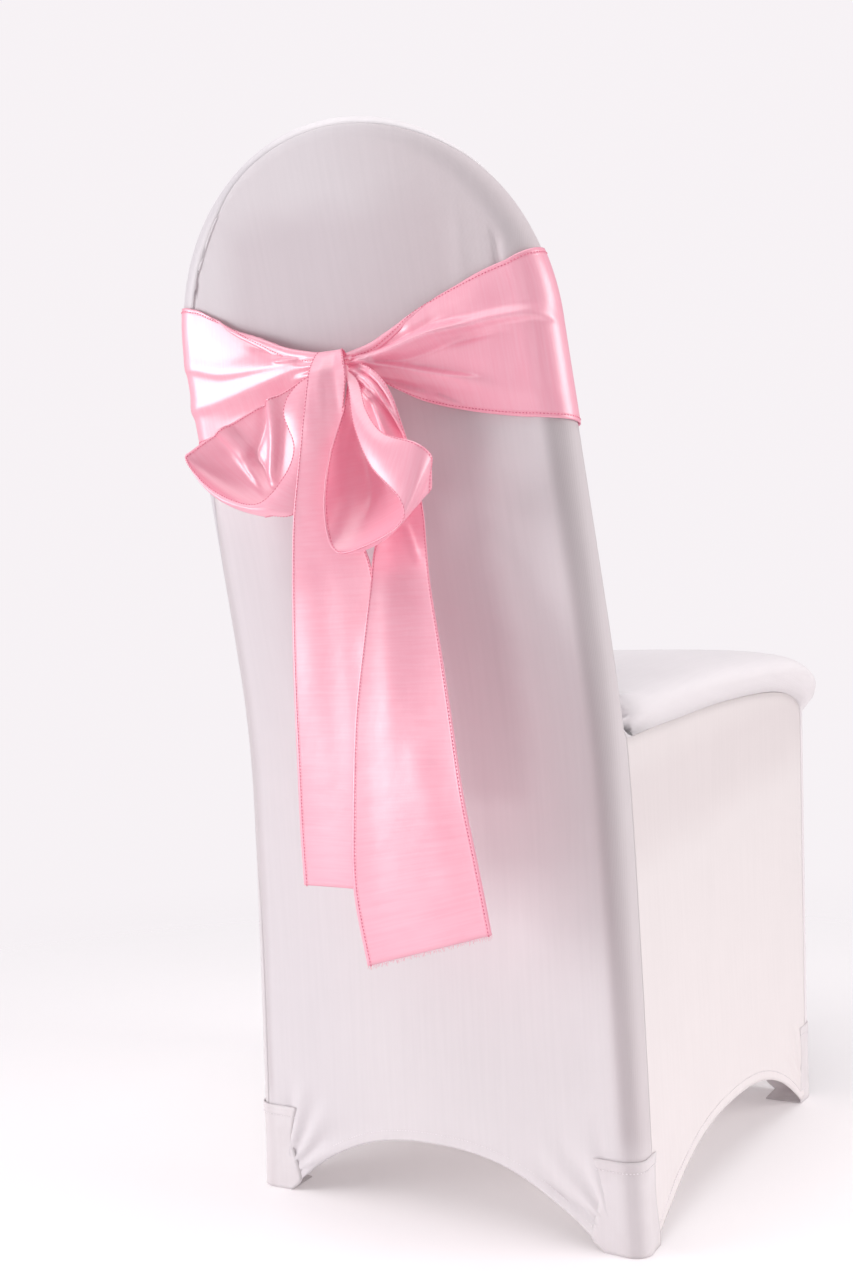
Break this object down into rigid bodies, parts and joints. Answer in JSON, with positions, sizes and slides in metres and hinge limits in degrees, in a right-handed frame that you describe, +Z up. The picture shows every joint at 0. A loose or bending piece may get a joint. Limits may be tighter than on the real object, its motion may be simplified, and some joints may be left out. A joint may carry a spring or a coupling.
{
  "type": "fitted chair cover with tied sash",
  "caption": "Stretch cover for a round-backed banquet chair, with foot pockets and a satin sash tied in a bow behind its back.",
  "frame": {"origin": "under the top of the cover on its centre line, where the top of the chair's back carries it", "axes": "+Z up; the front of the chair and its seat towards -Y, the outside of its back with the bow towards +Y; +X is the sitter's left"},
  "size_m": [0.4418, 0.6688, 0.95],
  "materials": {
    "stretch_knit": "white polyester and elastane warp knit, matt, slightly sheer where stretched",
    "doubled_knit": "the same knit, doubled and topstitched",
    "pink_satin": "polyester satin, smooth and glossy, with a narrow overlocked hem in matching thread"
  },
  "bodies": {
    "root": {"back_panel": "stretch_knit", "front_panel": "stretch_knit", "side_panel_left": "stretch_knit", "side_panel_right": "stretch_knit", "foot_pocket_rear_left": "doubled_knit", "foot_pocket_rear_right": "doubled_knit", "foot_pocket_front_left": "doubled_knit", "foot_pocket_front_right": "doubled_knit", "sash": "pink_satin"}
  },
  "joints": []
}
